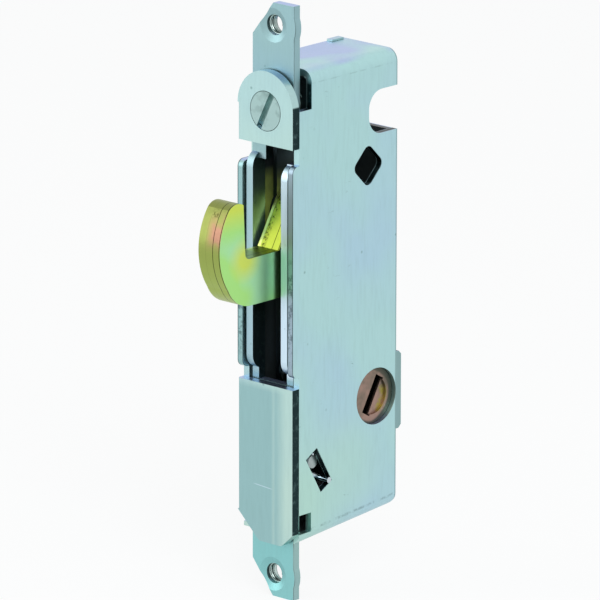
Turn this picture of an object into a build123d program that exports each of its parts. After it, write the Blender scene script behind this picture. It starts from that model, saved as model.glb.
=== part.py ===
from build123d import *
import math
import os

# Sliding patio door mortise lock with an adjustable laminated hook, in millimetres.
# X is the width across the case, -Y faces the door edge, +Y goes into the door, +Z is up.
# The origin is on the front of the face plate, midway between its two fixing holes.

# Face plate
fixing_hole_spacing = 93.66
fixing_hole_radius = 1.75
countersink_radius = 2.9
countersink_angle = 140.0
plate_width = 9.1
plate_thickness = 1.5
plate_end_margin = 3.8
ear_chamfer_height = 5.8
ear_swell = 0.3
rim_wall = 1.4
rim_forward = 1.5
rim_corner_radius = 2.6
rim_top = 25.2
rim_height = 37.2
right_rim_drop = 1.2
window_foot_drop = 1.7
neck_left = -1.6
neck_height = 3.6

# Case
case_width = 12.4
case_sheet = 1.2
case_depth = 25.4
case_front = -1.88
case_top = 39.7
case_height = 80.5
case_bottom_rise = 2.0
bend_radius = 2.1
front_sheet = 1.52
flange_front = 2.6
upper_relief_height = 6.4
lower_relief_lift = 2.0
lower_relief_height = 3.3
cheek_top = 23.56
cheek_height = 35.36
right_cheek_rise = 0.64
cheek_corner_radius = 1.2
rear_corner_radius = 1.8
rear_wall_gap = 0.1
hub_window_margin = 0.6
front_bend_radius = 0.5
tab_foot = 27.05
tab_height = 12.4
tab_side_setback = 0.1
cover_top = -13.7
cover_height = 27.25
cover_slant_height = 4.6
cover_corner_radius = 1.2
cover_foot_start_share = 0.39
cover_foot_end_share = 0.8
lug_length = 2.8
lug_proud = 0.35
top_lug_y = 21.2
bottom_lug_y = 12.0
lug_gap = 0.1

# Openings in the case sides
rear_notch_middle = 29.9
rear_notch_height = 7.5
rear_notch_depth = 6.95
rear_notch_radius = 3.1
diamond_y = 16.4
diamond_z = 21.15
diamond_side = 5.4
diamond_turn = 45.0
diamond_corner = 1.2
spring_slot_y = 4.5
spring_slot_z = -28.6
spring_slot_length = 7.3
spring_slot_width = 3.1
spring_slot_turn = -60.0
hub_bulge = 1.25
hub_bulge_height = 13.4
hub_bulge_chamfer = 0.6

# Hub
hub_y = 18.6
hub_z = -18.83
hub_journal_radius = 4.78
hub_tail_radius = 4.0
hub_disc_radius = 5.8
hub_clearance = 0.07
hub_recess = 0.8
hub_end_gap = 0.3
keyway_length = 6.9
keyway_width = 2.0
keyway_turn = 60.0
key_step_radius = 3.3
key_step_depth = 0.4
crank_radius = 7.0
crank_start = 225.0
crank_pin_radius = 1.5
crank_boss_radius = 2.6
lever_sheet = 1.2
detent_depth = 0.5
detent_radius = 1.6

# Slide bar
bar_sheet = 0.9
bar_gap = 0.3
bar_spine_y = 7.7
bar_spine_width = 3.9
fork_clearance = 0.3
fork_prong = 1.7
guide_pin_radius = 1.0
guide_head_radius = 1.7
guide_head_height = 0.6
guide_clearance = 0.15
upper_guide_z = 3.0
lower_guide_z = -14.5

# Hook
pivot_y = 7.0
pivot_z = 14.0
hook_reach = 22.35
hook_sheet = 1.58
pivot_boss_radius = 4.7
pivot_pin_radius = 1.6
pivot_clearance = 0.05
drive_pin_start = -45.0
drive_boss_radius = 2.6
hook_rivet_radius = 1.1
hook_curl_share = 0.045
boss_flank_turn = 145.0
tail_low_turn = -75.0
tail_middle_turn = -30.0
tail_high_turn = 15.0

# Hook carriage and its adjusting screw
carriage_sheet = 1.2
carriage_thin_sheet = 0.8
carriage_side_gap = 0.37
carriage_boss_radius = 4.0
carriage_front = 3.9
carriage_neck_rear = 9.9
carriage_bridge = 1.2
carriage_travel = 1.2
carriage_post_gap = 0.15
carriage_post_wall = 1.6
screw_z = 32.73
screw_head_radius = 3.3
screw_head_gap = 0.1
screw_shank_radius = 2.4
screw_shank_length = 14.6
screw_thread_clearance = 0.05
screw_plate_clearance = 0.15
screw_slot_width = 1.1
screw_slot_depth = 0.9
screw_slot_turn = 63.8
nut_start = 5.0
nut_depth = 6.0
nut_height = 7.0
clip_radius = 3.6
clip_thickness = 0.7
clip_offset = 0.1
clip_mouth = 2.4
groove_depth = 0.5

# Posts and hub spring
post_radius = 2.0
upper_post_y = 9.3
upper_post_z = 25.8
rear_post_y = 19.6
rear_post_z = -32.6
spring_post_radius = 1.1
spring_post_gap = 0.2
spring_y = 4.3
spring_wire_radius = 0.5
spring_coil_radius = 1.95
spring_full_turns = 2
spring_pitch = 1.6
spring_arm_gap = 0.3
spring_arm_past_hub = 1.5
spring_nub_inset = 0.6
spring_nub_aside = 0.9
spring_nub_proud = 0.2
spring_arcs_per_turn = 4
spring_wire_sides = 12
gap_point_step = 0.25

# One overrun serves every cut that passes through a surface
overrun = 2.0

# Places worked out from the sizes above
hole_z = fixing_hole_spacing / 2
plate_half_width = plate_width / 2
plate_half_length = hole_z + plate_end_margin
half_case = case_width / 2
inner_side = half_case - case_sheet
case_rear = case_front + case_depth
case_bottom = case_top - case_height
side_front = case_front + front_sheet
upper_relief = case_top - upper_relief_height
lower_relief = case_bottom + lower_relief_lift
tab_right = half_case - tab_side_setback
tab_radius = (half_case + tab_right) / 2
tab_middle = (tab_right - half_case) / 2
tab_crown = tab_foot + tab_height
cover_bottom = cover_top - cover_height
cheek_bottom = cheek_top - cheek_height
rim_bottom = rim_top - rim_height
window_top = rim_top - right_rim_drop
hook_half = hook_sheet * 3 / 2
bar_left = -inner_side + bar_gap
bar_right = bar_left + bar_sheet
lever_left = bar_right + bar_gap
lever_right = lever_left + lever_sheet
hub_face = half_case - hub_recess
hub_window_half = hub_disc_radius + hub_window_margin
wall_left = -hook_half - carriage_side_gap - carriage_thin_sheet
wall_right = hook_half + carriage_side_gap + carriage_sheet
crank_y = hub_y + crank_radius * math.cos(math.radians(crank_start))
crank_z = hub_z + crank_radius * math.sin(math.radians(crank_start))
drive_y = pivot_y + crank_radius * math.cos(math.radians(drive_pin_start))
drive_z = pivot_z + crank_radius * math.sin(math.radians(drive_pin_start))
bar_travel = 2 * crank_radius * math.sin(math.radians(abs(drive_pin_start)))
slot_half = crank_pin_radius + fork_clearance
fork_half = slot_half + fork_prong
spring_z = hub_z - hub_disc_radius - spring_arm_gap - spring_wire_radius - spring_coil_radius
spring_end = inner_side - spring_wire_radius - spring_post_gap

os.makedirs("parts", exist_ok=True)


def write_piece(piece, name):
    piece.part.label = name
    export_step(piece.part, "parts/" + name + ".step")


def side_plane(x):
    """A plane across the width at x: its own x is Y and its own y is Z."""
    return Plane.YZ.offset(x)


def front_plane(y):
    """A plane at depth y that faces the door edge: its own x is X and its own y is Z."""
    return Plane.XZ.offset(-y)


def write_rod(name, x_from, x_to, radius, *places):
    """Plain round pins along X, written as one node."""
    with BuildPart() as rod:
        with BuildSketch(side_plane(x_from)):
            with Locations(*places):
                Circle(radius)
        extrude(amount=x_to - x_from)
    write_piece(rod, name)


def box_sketch(across_from, across_to, z_from, z_to):
    """A rectangle in a side or front plane, given by its limits."""
    with Locations(((across_from + across_to) / 2, (z_from + z_to) / 2)):
        Rectangle(across_to - across_from, z_to - z_from)


def bottom_z(y):
    """Height of the case's outer bottom at depth y: it rises towards the rear."""
    return case_bottom + case_bottom_rise * (y - side_front) / (case_rear - side_front)


def side_outline(inset):
    """The corners of a case side, its top and bottom set in by an amount."""
    return (
        (side_front, bottom_z(side_front) + inset),
        (case_rear, bottom_z(case_rear) + inset),
        (case_rear, case_top - inset),
        (side_front, case_top - inset),
    )


# Face plate: a stamped strip with an ear at each end and raised cheeks beside its window
def make_face_plate():
    slope = ear_chamfer_height / plate_half_width
    with BuildPart() as face_plate:
        with BuildSketch(front_plane(plate_thickness)):
            Rectangle(plate_width, 2 * plate_half_length)
            with Locations((0, hole_z), (0, -hole_z)):
                Circle(plate_half_width + ear_swell)
            for end in (1, -1):
                with Locations((0, end * (plate_half_length + overrun))):
                    Rectangle(plate_width + 2 * overrun, 2 * overrun, mode=Mode.SUBTRACT)
                with BuildLine():
                    Polyline(
                        (overrun, end * (plate_half_length + overrun * slope)),
                        (-plate_width, end * (plate_half_length - plate_width * slope)),
                        (-plate_width, end * (plate_half_length + overrun * slope)),
                        close=True,
                    )
                make_face(mode=Mode.SUBTRACT)
        extrude(amount=plate_thickness)
        rims = ((-plate_half_width, rim_top), (plate_half_width - rim_wall, window_top))
        for rim_left, top in rims:
            with BuildSketch(side_plane(rim_left)):
                box_sketch(-rim_forward, plate_thickness, rim_bottom, top)
                fillet(vertices().group_by(Axis.X)[0], rim_corner_radius)
            extrude(amount=rim_wall)
        with BuildSketch(front_plane(plate_thickness)):
            box_sketch(
                rim_wall - plate_half_width,
                plate_half_width - rim_wall,
                rim_bottom - window_foot_drop,
                window_top,
            )
            box_sketch(
                neck_left, plate_half_width + overrun, window_top, window_top + neck_height
            )
        extrude(amount=plate_thickness, mode=Mode.SUBTRACT)
        with Locations(front_plane(0)):
            with Locations((0, hole_z), (0, -hole_z)):
                CounterSinkHole(
                    fixing_hole_radius, countersink_radius, plate_thickness, countersink_angle
                )
            with Locations((0, screw_z)):
                Hole(screw_shank_radius + screw_plate_clearance, depth=plate_thickness)
    write_piece(face_plate, "face_plate")


# Cuts and swells that both case sides share
def make_rear_notch():
    """A round-cornered notch, open to the rear, that passes through both sides."""
    with BuildPart() as notch:
        with BuildSketch(side_plane(-half_case - overrun)):
            box_sketch(
                case_rear - rear_notch_depth,
                case_rear + overrun,
                rear_notch_middle - rear_notch_height / 2,
                rear_notch_middle + rear_notch_height / 2,
            )
            fillet(vertices().group_by(Axis.X)[0], rear_notch_radius)
        extrude(amount=case_width + 2 * overrun)
    return notch.part


def make_front_reliefs():
    """Both sides step back at their upper and lower ends, behind the face plate's ears."""
    with BuildPart() as reliefs:
        with BuildSketch(side_plane(-half_case - overrun)):
            box_sketch(case_front - overrun, flange_front, upper_relief, case_top + overrun)
            box_sketch(
                case_front - overrun,
                flange_front,
                lower_relief,
                lower_relief + lower_relief_height,
            )
        extrude(amount=case_width + 2 * overrun)
    return reliefs.part


def make_side_swells(x_from, top):
    """The front cheek beside the window and the rear swell beside the hub's hole."""
    half = hub_bulge_height / 2
    with BuildPart() as swells:
        with BuildSketch(side_plane(x_from)):
            box_sketch(case_front, side_front + case_sheet, cheek_bottom, top)
            fillet(vertices().group_by(Axis.X)[0], cheek_corner_radius)
        extrude(amount=case_sheet)
        with BuildSketch(side_plane(x_from)):
            box_sketch(case_rear - case_sheet, case_rear + hub_bulge, hub_z - half, hub_z + half)
            chamfer(vertices().group_by(Axis.X)[-1], hub_bulge_chamfer)
        extrude(amount=case_sheet)
    return swells.part


def make_bend_round(z_from, z_to):
    """What a fold takes off the left front corner between two heights."""
    with BuildPart() as corner:
        with BuildSketch(Plane.XY.offset(z_from)):
            with Locations((-half_case, case_front)):
                Rectangle(2 * front_bend_radius, 2 * front_bend_radius)
            with Locations((-half_case + front_bend_radius, case_front + front_bend_radius)):
                Circle(front_bend_radius, mode=Mode.SUBTRACT)
        extrude(amount=z_to - z_from)
    return corner.part


# Right half of the case: side, top flange and bottom flange folded from one sheet
def make_case_right():
    with BuildPart() as inner_space:
        with BuildSketch(side_plane(-half_case - overrun)):
            with BuildLine():
                Polyline(
                    (side_front - overrun, bottom_z(side_front - overrun) + case_sheet),
                    (case_rear + overrun, bottom_z(case_rear + overrun) + case_sheet),
                    (case_rear + overrun, case_top - case_sheet),
                    (side_front - overrun, case_top - case_sheet),
                    close=True,
                )
            make_face()
        extrude(amount=half_case + overrun + inner_side)
        inner_wall = inner_space.faces().sort_by(Axis.X)[-1]
        long_edges = inner_wall.edges().sort_by(Axis.Z)
        fillet([long_edges[0], long_edges[-1]], bend_radius - case_sheet)

    with BuildPart() as case_right:
        with BuildSketch(side_plane(-half_case)):
            with BuildLine():
                Polyline(*side_outline(0), close=True)
            make_face()
        extrude(amount=case_width)
        outer_wall = case_right.faces().sort_by(Axis.X)[-1]
        long_edges = outer_wall.edges().sort_by(Axis.Z)
        fillet([long_edges[0], long_edges[-1]], bend_radius)
        add(inner_space.part, mode=Mode.SUBTRACT)
        with BuildSketch(side_plane(-half_case)):
            with BuildLine():
                Polyline(*side_outline(0), close=True)
            make_face()
            fillet(vertices().group_by(Axis.X)[-1].sort_by(Axis.Y)[0], rear_corner_radius)
        extrude(amount=case_width, mode=Mode.INTERSECT)
        with BuildSketch(side_plane(-half_case - overrun)):
            box_sketch(
                side_front - overrun, flange_front, case_bottom - overrun, case_top + overrun
            )
        extrude(amount=half_case + overrun + inner_side, mode=Mode.SUBTRACT)
        add(make_front_reliefs(), mode=Mode.SUBTRACT)
        add(make_side_swells(inner_side, cheek_top + right_cheek_rise))
        add(make_rear_notch(), mode=Mode.SUBTRACT)
        with BuildSketch(side_plane(inner_side - overrun)):
            with Locations((hub_y, hub_z)):
                Circle(hub_journal_radius + hub_clearance)
            with Locations(Location((diamond_y, diamond_z, 0), (0, 0, diamond_turn))):
                RectangleRounded(diamond_side, diamond_side, diamond_corner)
            with Locations(Location((spring_slot_y, spring_slot_z, 0), (0, 0, spring_slot_turn))):
                Rectangle(spring_slot_length, spring_slot_width)
        extrude(amount=case_sheet + 2 * overrun, mode=Mode.SUBTRACT)
        with BuildSketch(side_plane(-half_case - lug_gap)):
            for y, z in ((top_lug_y, case_top), (bottom_lug_y, bottom_z(bottom_lug_y))):
                with Locations((y, z)):
                    Rectangle(lug_length + 2 * lug_gap, 2 * case_sheet + 2 * overrun)
        extrude(amount=case_sheet + 2 * lug_gap, mode=Mode.SUBTRACT)
    write_piece(case_right, "case_right")


# Left half of the case: side, arched tab and lower cover folded from one sheet
def make_case_left():
    with BuildPart() as case_left:
        with BuildSketch(side_plane(-half_case)):
            with BuildLine():
                Polyline(*side_outline(case_sheet), close=True)
            make_face()
            box_sketch(
                top_lug_y - lug_length / 2,
                top_lug_y + lug_length / 2,
                case_top - case_sheet - overrun,
                case_top + lug_proud,
            )
            box_sketch(
                bottom_lug_y - lug_length / 2,
                bottom_lug_y + lug_length / 2,
                bottom_z(bottom_lug_y) - lug_proud,
                case_bottom + case_sheet + overrun + case_bottom_rise,
            )
        extrude(amount=case_sheet)
        add(make_front_reliefs(), mode=Mode.SUBTRACT)
        with BuildSketch(side_plane(-half_case - overrun)):
            box_sketch(case_front - overrun, plate_thickness, cheek_top, tab_foot)
        extrude(amount=case_sheet + 2 * overrun, mode=Mode.SUBTRACT)
        add(make_side_swells(-half_case, cheek_top))
        with BuildSketch(front_plane(case_rear)):
            box_sketch(
                -half_case,
                inner_side - rear_wall_gap,
                bottom_z(case_rear) + rear_corner_radius,
                case_top - case_sheet,
            )
            with Locations(((bar_right + inner_side) / 2, hub_z)):
                Rectangle(inner_side - bar_right, 2 * hub_window_half, mode=Mode.SUBTRACT)
        extrude(amount=case_sheet)
        with BuildSketch(front_plane(side_front)):
            with BuildLine():
                Polyline((-half_case, tab_crown - tab_radius), (-half_case, tab_foot),
                         (tab_right, tab_foot), (tab_right, tab_crown - tab_radius))
                ThreePointArc((tab_right, tab_crown - tab_radius), (tab_middle, tab_crown),
                              (-half_case, tab_crown - tab_radius))
            make_face()
        extrude(amount=front_sheet)
        cover_width = half_case + tab_right
        with BuildSketch(front_plane(side_front)):
            with BuildLine():
                Polyline(
                    (-half_case, cover_top),
                    (-half_case, cover_bottom + cover_slant_height),
                    (-half_case + cover_width * cover_foot_start_share, cover_bottom),
                    (-half_case + cover_width * cover_foot_end_share, cover_bottom),
                    (tab_right, cover_bottom + cover_slant_height / 2),
                    (tab_right, cover_top),
                    close=True,
                )
            make_face()
            fillet(vertices().group_by(Axis.Y)[0], cover_corner_radius)
        extrude(amount=front_sheet)
        add(make_bend_round(tab_foot, tab_crown - tab_radius), mode=Mode.SUBTRACT)
        add(make_bend_round(cover_bottom + cover_slant_height, cover_top), mode=Mode.SUBTRACT)
        add(make_rear_notch(), mode=Mode.SUBTRACT)
        with Locations(front_plane(case_front)):
            with Locations((0, screw_z)):
                Hole(screw_head_radius + screw_head_gap, depth=front_sheet)
        with BuildSketch(side_plane(-half_case - overrun)):
            with Locations((hub_y, hub_z)):
                Circle(hub_tail_radius + hub_clearance)
            with Locations((upper_post_y, upper_post_z), (rear_post_y, rear_post_z)):
                Circle(post_radius)
            with Locations((spring_y, spring_z)):
                Circle(spring_post_radius)
            with Locations((bar_spine_y, upper_guide_z), (bar_spine_y, lower_guide_z)):
                Circle(guide_pin_radius)
        extrude(amount=case_sheet + 2 * overrun, mode=Mode.SUBTRACT)
    write_piece(case_left, "case_left")


# Adjusting screw: slotted flush head, shank and clip groove
def make_adjusting_screw():
    head_height = -case_front
    clip_start = plate_thickness + clip_offset
    with BuildPart() as screw:
        with BuildSketch(front_plane(0)):
            with Locations((0, screw_z)):
                Circle(screw_head_radius)
        extrude(amount=head_height)
        with BuildSketch(front_plane(screw_shank_length)):
            with Locations((0, screw_z)):
                Circle(screw_shank_radius)
        extrude(amount=screw_shank_length)
        with BuildSketch(front_plane(case_front)):
            with Locations(Location((0, screw_z, 0), (0, 0, screw_slot_turn))):
                Rectangle(2 * screw_head_radius + overrun, screw_slot_width)
        extrude(amount=-screw_slot_depth, mode=Mode.SUBTRACT)
        with BuildSketch(front_plane(clip_start + clip_thickness)):
            with Locations((0, screw_z)):
                Circle(screw_shank_radius + overrun)
                Circle(screw_shank_radius - groove_depth, mode=Mode.SUBTRACT)
        extrude(amount=clip_thickness, mode=Mode.SUBTRACT)
    write_piece(screw, "adjusting_screw")

    with BuildPart() as clip:
        with BuildSketch(front_plane(clip_start + clip_thickness)):
            with Locations((0, screw_z)):
                Circle(clip_radius)
                Circle(screw_shank_radius - groove_depth, mode=Mode.SUBTRACT)
            with Locations((0, screw_z - clip_radius)):
                Rectangle(clip_mouth, 2 * clip_radius - clip_mouth / 2, mode=Mode.SUBTRACT)
        extrude(amount=clip_thickness)
    write_piece(clip, "screw_clip")


# Carriage: two walls under a bridge, with the nut between them and slots for the upper post
def make_carriage():
    nut_top = screw_z + nut_height / 2
    wall_top = nut_top + carriage_bridge
    slot_half_length = carriage_travel + post_radius + carriage_post_gap
    shoulder_z = upper_post_z - post_radius - carriage_post_gap - carriage_post_wall
    shoulder_y = upper_post_y + slot_half_length + carriage_post_wall
    walls = ((wall_left, carriage_thin_sheet), (wall_right - carriage_sheet, carriage_sheet))
    with BuildPart() as carriage:
        for wall_x, wall_sheet in walls:
            with BuildSketch(side_plane(wall_x)):
                with Locations((pivot_y, pivot_z)):
                    Circle(carriage_boss_radius)
                box_sketch(carriage_front, carriage_neck_rear, pivot_z, wall_top)
                box_sketch(carriage_front, shoulder_y, shoulder_z, wall_top)
                with Locations((pivot_y, pivot_z)):
                    Circle(pivot_pin_radius, mode=Mode.SUBTRACT)
                with Locations((upper_post_y, upper_post_z)):
                    SlotOverall(
                        2 * slot_half_length,
                        2 * (post_radius + carriage_post_gap),
                        mode=Mode.SUBTRACT,
                    )
            extrude(amount=wall_sheet)
        with BuildSketch(side_plane(wall_left)):
            box_sketch(carriage_front, nut_start + nut_depth, nut_top, wall_top)
        extrude(amount=wall_right - wall_left)
    write_piece(carriage, "hook_carriage")

    with BuildPart() as nut:
        with BuildSketch(side_plane(wall_left + carriage_thin_sheet)):
            box_sketch(nut_start, nut_start + nut_depth, nut_top - nut_height, nut_top)
        extrude(amount=wall_right - carriage_sheet - wall_left - carriage_thin_sheet)
        with BuildSketch(front_plane(nut_start + nut_depth)):
            with Locations((0, screw_z)):
                Circle(screw_shank_radius + screw_thread_clearance)
        extrude(amount=nut_depth, mode=Mode.SUBTRACT)
    write_piece(nut, "adjusting_nut")


# Hook: three riveted plates of one outline, given as shares of the reach from the pivot
def hook_point(y_share, z_share):
    return (pivot_y + y_share * hook_reach, pivot_z + z_share * hook_reach)


def polar_point(y, z, radius, turn):
    return (y + radius * math.cos(math.radians(turn)), z + radius * math.sin(math.radians(turn)))


def hook_sketch():
    tip_inner = hook_point(-0.745, 0.213)
    tip_outer = hook_point(-0.897, 0.198)
    front_low = hook_point(-0.908, -0.407)
    bottom_in = hook_point(-0.68, -0.562)
    shank_end = hook_point(-0.25, -0.565)
    throat_floor = hook_point(-0.727 + hook_curl_share, -0.206)
    throat_side = hook_point(-0.727, -0.206 + hook_curl_share)
    shank_top = hook_point(-0.365, -0.206)
    boss_left = polar_point(pivot_y, pivot_z, pivot_boss_radius, boss_flank_turn)
    boss_top = (pivot_y, pivot_z + pivot_boss_radius)
    boss_right = (pivot_y + pivot_boss_radius, pivot_z)
    tail_low = polar_point(drive_y, drive_z, drive_boss_radius, tail_low_turn)
    tail_middle = polar_point(drive_y, drive_z, drive_boss_radius, tail_middle_turn)
    tail_high = polar_point(drive_y, drive_z, drive_boss_radius, tail_high_turn)
    with BuildLine() as outline:
        ThreePointArc(tip_inner, hook_point(-0.82, 0.232), tip_outer)
        ThreePointArc(tip_outer, hook_point(-1.0, -0.085), front_low)
        ThreePointArc(front_low, hook_point(-0.82, -0.512), bottom_in)
        Line(bottom_in, shank_end)
        Line(shank_end, tail_low)
        ThreePointArc(tail_low, tail_middle, tail_high)
        Line(tail_high, boss_right)
        ThreePointArc(boss_right, boss_top, boss_left)
        Line(boss_left, shank_top)
        Line(shank_top, throat_floor)
        RadiusArc(throat_floor, throat_side, hook_reach * hook_curl_share)
        Line(throat_side, tip_inner)
    make_face(outline.edges())


def make_hook_plate(name, x_from):
    with BuildPart() as plate:
        with BuildSketch(side_plane(x_from)):
            hook_sketch()
            with Locations((pivot_y, pivot_z)):
                Circle(pivot_pin_radius + pivot_clearance, mode=Mode.SUBTRACT)
            with Locations((drive_y, drive_z)):
                Circle(crank_pin_radius, mode=Mode.SUBTRACT)
            with Locations(*rivet_places()):
                Circle(hook_rivet_radius, mode=Mode.SUBTRACT)
        extrude(amount=hook_sheet)
    write_piece(plate, name)


def rivet_places():
    return (hook_point(-0.26, -0.4), hook_point(0, -0.32))


def make_hook():
    make_hook_plate("hook_plate_left", -hook_half)
    make_hook_plate("hook_plate_middle", -hook_sheet / 2)
    make_hook_plate("hook_plate_right", hook_sheet / 2)
    write_rod("hook_rivets", -hook_half, hook_half, hook_rivet_radius, *rivet_places())
    write_rod("hook_pivot_pin", wall_left, wall_right, pivot_pin_radius, (pivot_y, pivot_z))
    write_rod("hook_drive_pin", bar_left, hook_half, crank_pin_radius, (drive_y, drive_z))


# Slide bar: joins the hub's crank pin to the hook's drive pin by a fork at each end
def make_slide_bar():
    spine_left = bar_spine_y - bar_spine_width / 2
    spine_right = bar_spine_y + bar_spine_width / 2
    lower_mouth = hub_y - hub_tail_radius - bar_gap
    lower_root = hub_y - crank_radius - crank_pin_radius - fork_clearance
    upper_mouth = pivot_y + crank_radius + carriage_travel + fork_clearance
    upper_root = drive_y - carriage_travel - crank_pin_radius - fork_clearance
    slot_length = bar_travel + 2 * (guide_pin_radius + guide_clearance)
    with BuildPart() as bar:
        with BuildSketch(side_plane(bar_left)):
            box_sketch(spine_left, spine_right, crank_z - fork_half, drive_z + fork_half)
            box_sketch(spine_left, lower_mouth, crank_z - fork_half, crank_z + fork_half)
            box_sketch(spine_left, upper_mouth, drive_z - fork_half, drive_z + fork_half)
        extrude(amount=bar_sheet)
        with BuildSketch(side_plane(bar_left - overrun)):
            box_sketch(lower_root, lower_mouth + overrun, crank_z - slot_half, crank_z + slot_half)
            box_sketch(upper_root, upper_mouth + overrun, drive_z - slot_half, drive_z + slot_half)
            for guide_z in (upper_guide_z, lower_guide_z):
                middle = guide_z - bar_travel / 2
                with Locations(Location((bar_spine_y, middle, 0), (0, 0, 90))):
                    SlotOverall(slot_length, 2 * (guide_pin_radius + guide_clearance))
        extrude(amount=bar_sheet + 2 * overrun, mode=Mode.SUBTRACT)
    write_piece(bar, "slide_bar")

    guide_places = ((bar_spine_y, upper_guide_z), (bar_spine_y, lower_guide_z))
    head_start = bar_right + guide_clearance
    with BuildPart() as guides:
        with BuildSketch(side_plane(-half_case)):
            with Locations(*guide_places):
                Circle(guide_pin_radius)
        extrude(amount=half_case + head_start)
        with BuildSketch(side_plane(head_start)):
            with Locations(*guide_places):
                Circle(guide_head_radius)
        extrude(amount=guide_head_height)
    write_piece(guides, "slide_guide_pins")


# Hub: a disc journalled in both case sides, with a keyway through it and two detents
def make_hub():
    with BuildPart() as hub:
        with BuildSketch(side_plane(lever_right)):
            with Locations((hub_y, hub_z)):
                Circle(hub_disc_radius)
                with PolarLocations(
                    hub_disc_radius + detent_radius - detent_depth, 2, start_angle=-90,
                    angular_range=90, endpoint=True,
                ):
                    Circle(detent_radius, mode=Mode.SUBTRACT)
        extrude(amount=inner_side - hub_end_gap - lever_right)
        with BuildSketch(side_plane(inner_side - hub_end_gap)):
            with Locations((hub_y, hub_z)):
                Circle(hub_journal_radius)
        extrude(amount=hub_face - inner_side + hub_end_gap)
        with BuildSketch(side_plane(-hub_face)):
            with Locations((hub_y, hub_z)):
                Circle(hub_tail_radius)
        extrude(amount=hub_face + lever_right)
        with BuildSketch(side_plane(-half_case - overrun)):
            with Locations(Location((hub_y, hub_z, 0), (0, 0, keyway_turn))):
                Rectangle(keyway_length, keyway_width)
        extrude(amount=case_width + 2 * overrun, mode=Mode.SUBTRACT)
        with BuildSketch(side_plane(hub_face - key_step_depth)):
            with Locations(Location((hub_y, hub_z, 0), (0, 0, keyway_turn))):
                Circle(key_step_radius)
                with Locations((0, key_step_radius)):
                    Rectangle(2 * key_step_radius, 2 * key_step_radius, mode=Mode.SUBTRACT)
        extrude(amount=key_step_depth + overrun, mode=Mode.SUBTRACT)
    write_piece(hub, "hub")

    with BuildPart() as lever:
        with BuildSketch(side_plane(lever_left)):
            with BuildLine():
                Polyline(
                    (crank_y - crank_boss_radius * math.sin(math.radians(crank_start)),
                     crank_z + crank_boss_radius * math.cos(math.radians(crank_start))),
                    (crank_y + crank_boss_radius * math.sin(math.radians(crank_start)),
                     crank_z - crank_boss_radius * math.cos(math.radians(crank_start))),
                    (hub_y + hub_disc_radius * math.sin(math.radians(crank_start)),
                     hub_z - hub_disc_radius * math.cos(math.radians(crank_start))),
                    (hub_y - hub_disc_radius * math.sin(math.radians(crank_start)),
                     hub_z + hub_disc_radius * math.cos(math.radians(crank_start))),
                    close=True,
                )
            make_face()
            with Locations((hub_y, hub_z)):
                Circle(hub_disc_radius)
            with Locations((crank_y, crank_z)):
                Circle(crank_boss_radius)
            with Locations((hub_y, hub_z)):
                Circle(hub_tail_radius, mode=Mode.SUBTRACT)
            with Locations((crank_y, crank_z)):
                Circle(crank_pin_radius, mode=Mode.SUBTRACT)
        extrude(amount=lever_sheet)
    write_piece(lever, "hub_lever")
    write_rod("hub_crank_pin", bar_left, lever_right, crank_pin_radius, (crank_y, crank_z))


# Hub spring: a coil round its post, one end in the slanted slot and one arm under the hub
def coil_point(x_start, turns):
    angle = 2 * math.pi * turns
    return Vector(
        x_start + spring_pitch * turns,
        spring_y - spring_coil_radius * math.sin(angle),
        spring_z + spring_coil_radius * math.cos(angle),
    )


def coil_heading(climb, turns):
    angle = 2 * math.pi * turns
    return Vector(climb, -math.cos(angle), -math.sin(angle)).normalized()


def draw_biarc(start, heading, finish, finish_heading):
    """Two arcs that join two points and keep both headings."""
    span = finish - start
    both = span.dot(heading + finish_heading)
    bend = 2 * (1 - heading.dot(finish_heading))
    reach = (math.sqrt(both**2 + bend * span.dot(span)) - both) / bend
    first = start + heading * reach
    second = finish - finish_heading * reach
    middle = (first + second) / 2
    TangentArc(start, middle, tangent=heading)
    TangentArc(middle, finish, tangent=second - first)


def least_self_gap(wire):
    """Least gap between points of the wire that lie over half a turn apart along it."""
    count = round(wire.length / gap_point_step)
    points = [wire @ (i / count) for i in range(count + 1)]
    apart = round(math.pi * spring_coil_radius / gap_point_step)
    gaps = [(p - q).length for i, p in enumerate(points) for q in points[i + apart:]]
    return min(gaps) - 2 * spring_wire_radius


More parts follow.
